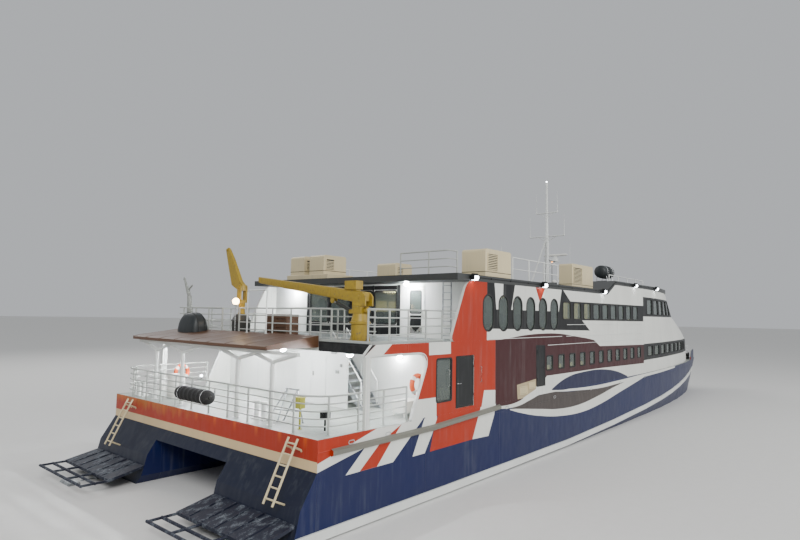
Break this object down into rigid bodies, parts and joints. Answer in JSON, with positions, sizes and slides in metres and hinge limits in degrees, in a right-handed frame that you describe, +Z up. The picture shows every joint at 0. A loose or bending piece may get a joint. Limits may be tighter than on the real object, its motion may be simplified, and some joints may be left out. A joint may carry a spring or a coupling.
{
  "type": "fast passenger catamaran ferry, scale model at half size",
  "caption": "Aluminium catamaran passenger ferry at half real size, with two saloon decks, open after decks, waterjets, deck cranes, davit, mast and raked wheelhouse front.",
  "frame": {"origin": "on the waterline and the centreline, straight below the after edge of the main deck", "axes": "+X to the bow, +Y to port, +Z up"},
  "size_m": [25.3812, 6.5, 8.65],
  "materials": {
    "hull_paint": "gloss marine paint, navy",
    "cream_paint": "gloss marine paint, cream",
    "white_paint": "white marine paint",
    "maroon_paint": "gloss marine paint, maroon and red",
    "grey_metal": "grey lamp housings",
    "ram_rod": "hard chromed ram rod",
    "raft_shell": "dark moulded raft cover",
    "dark_paint": "dark grey roof paint",
    "deck_paint": "non-slip deck paint",
    "brown_paint": "brown paint, weathered",
    "yellow_paint": "yellow crane paint",
    "alloy": "bare marine alloy",
    "black_rubber": "black fender",
    "white_plastic": "white moulded plastic"
  },
  "bodies": {
    "ship": {"aft_canopy": "brown_paint", "aft_stair": "alloy", "bridge_deck": "hull_paint", "canopy_frame": "white_paint", "chine_strip_port": "cream_paint", "chine_strip_starboard": "cream_paint", "crane_pedestal_port": "dark_paint", "crane_pedestal_starboard": "yellow_paint", "deck_bench": "brown_paint", "deck_frame": "white_paint", "foredeck_rail": "white_paint", "hull_port": "hull_paint", "hull_starboard": "hull_paint", "jet_guard_port": "hull_paint", "jet_guard_starboard": "hull_paint", "lower_side_port": "maroon_paint", "lower_side_starboard": "maroon_paint", "main_aft_bulkhead": "white_paint", "main_front": "hull_paint", "mast": "white_paint", "raft_cover": "raft_shell", "roof_aft": "dark_paint", "roof_fore": "dark_paint", "roof_ladder": "white_paint", "roof_lamps_port": "grey_metal", "roof_lamps_starboard": "grey_metal", "roof_rail": "white_paint", "roof_unit_fore": "cream_paint", "roof_unit_middle": "cream_paint", "roof_unit_port": "cream_paint", "roof_unit_starboard": "cream_paint", "stern_drum": "white_plastic", "stern_fender": "black_rubber", "stern_rail": "white_paint", "transom_ladder_port": "cream_paint", "transom_ladder_starboard": "cream_paint", "upper_aft_bulkhead": "white_paint", "upper_deck": "deck_paint", "upper_rail": "white_paint", "upper_side_port": "cream_paint", "upper_side_starboard": "cream_paint", "waterjet_port": "alloy", "waterjet_starboard": "alloy", "wheelhouse_front": "cream_paint"},
    "crane_column_starboard": {"crane_column_starboard": "yellow_paint"},
    "crane_boom_starboard": {"crane_boom_starboard": "yellow_paint"},
    "crane_ram_starboard": {"crane_ram_starboard": "dark_paint"},
    "crane_rod_starboard": {"crane_rod_starboard": "ram_rod"},
    "crane_column_port": {"crane_column_port": "yellow_paint"},
    "crane_boom_port": {"crane_boom_port": "yellow_paint"},
    "davit_arm": {"davit_arm": "alloy"},
    "radar_scanner": {"radar_scanner": "white_plastic"},
    "steering_nozzle_port": {"steering_nozzle_port": "alloy"},
    "reversing_bucket_port": {"reversing_bucket_port": "alloy"},
    "shell_door_port": {"shell_door_port": "dark_paint"},
    "steering_nozzle_starboard": {"steering_nozzle_starboard": "alloy"},
    "reversing_bucket_starboard": {"reversing_bucket_starboard": "alloy"},
    "shell_door_starboard": {"shell_door_starboard": "dark_paint"},
    "main_aft_door": {"main_aft_door": "white_paint"},
    "upper_aft_door": {"upper_aft_door": "white_paint"}
  },
  "joints": [
    {"name": "radar_spin", "type": "hinge", "parent": "ship", "child": "radar_scanner", "pos_m": [14.025, 0, 5.35], "axis": [0, 0, 1], "continuous": true},
    {"name": "crane_slew_starboard", "type": "hinge", "parent": "ship", "child": "crane_column_starboard", "pos_m": [1.45, -2.475, 3.115], "axis": [0, 0, 1], "range_deg": [-20, 190]},
    {"name": "crane_luff_starboard", "type": "hinge", "parent": "crane_column_starboard", "child": "crane_boom_starboard", "pos_m": [1.45, -2.54, 3.39], "axis": [1, 0, 0], "range_deg": [-2, 65]},
    {"name": "crane_ram_tilt", "type": "hinge", "parent": "crane_column_starboard", "child": "crane_ram_starboard", "pos_m": [1.45, -2.29, 3.15], "axis": [1, 0, 0], "range_deg": [-2, 62.1]},
    {"name": "crane_ram_reach", "type": "slide", "parent": "crane_ram_starboard", "child": "crane_rod_starboard", "axis": [0, 0.9359, 0.3522], "range_m": [-0.012, 0.372]},
    {"name": "crane_slew_port", "type": "hinge", "parent": "ship", "child": "crane_column_port", "pos_m": [1.45, 0.925, 3.065], "axis": [0, 0, 1], "range_deg": [-30, 90]},
    {"name": "crane_luff_port", "type": "hinge", "parent": "crane_column_port", "child": "crane_boom_port", "pos_m": [1.45, 0.925, 3.6], "axis": [1, 0, 0], "range_deg": [-50, 15]},
    {"name": "davit_slew", "type": "hinge", "parent": "ship", "child": "davit_arm", "pos_m": [1.375, 2.85, 2.64], "axis": [0, 0, 1], "range_deg": [-30, 120]},
    {"name": "steer_port", "type": "hinge", "parent": "ship", "child": "steering_nozzle_port", "pos_m": [-0.93776, 2.14, -0.21], "axis": [0, 0, 1], "range_deg": [-30, 30]},
    {"name": "bucket_port", "type": "hinge", "parent": "steering_nozzle_port", "child": "reversing_bucket_port", "pos_m": [-1.03776, 2.14, -0.21], "axis": [0, -1, 0], "range_deg": [0, 65]},
    {"name": "shell_door_port", "type": "hinge", "parent": "ship", "child": "shell_door_port", "pos_m": [3.863, 3.133, 1.905], "axis": [0, 0, -1], "range_deg": [0, 110]},
    {"name": "steer_starboard", "type": "hinge", "parent": "ship", "child": "steering_nozzle_starboard", "pos_m": [-0.93776, -2.14, -0.21], "axis": [0, 0, 1], "range_deg": [-30, 30]},
    {"name": "bucket_starboard", "type": "hinge", "parent": "steering_nozzle_starboard", "child": "reversing_bucket_starboard", "pos_m": [-1.03776, -2.14, -0.21], "axis": [0, -1, 0], "range_deg": [0, 65]},
    {"name": "shell_door_starboard", "type": "hinge", "parent": "ship", "child": "shell_door_starboard", "pos_m": [3.863, -3.133, 1.905], "axis": [0, 0, 1], "range_deg": [0, 110]},
    {"name": "main_aft_door", "type": "hinge", "parent": "ship", "child": "main_aft_door", "pos_m": [2.657, 0.493, 1.925], "axis": [0, 0, -1], "range_deg": [0, 100]},
    {"name": "upper_aft_door", "type": "hinge", "parent": "ship", "child": "upper_aft_door", "pos_m": [3.957, -1.442, 3.19], "axis": [0, 0, -1], "range_deg": [0, 100]}
  ],
  "couplings": [
    {"joint": "crane_ram_tilt", "follows": "crane_luff_starboard", "ratio": 0.9542},
    {"joint": "crane_ram_reach", "follows": "crane_luff_starboard", "m_per_rad": 0.3269}
  ]
}
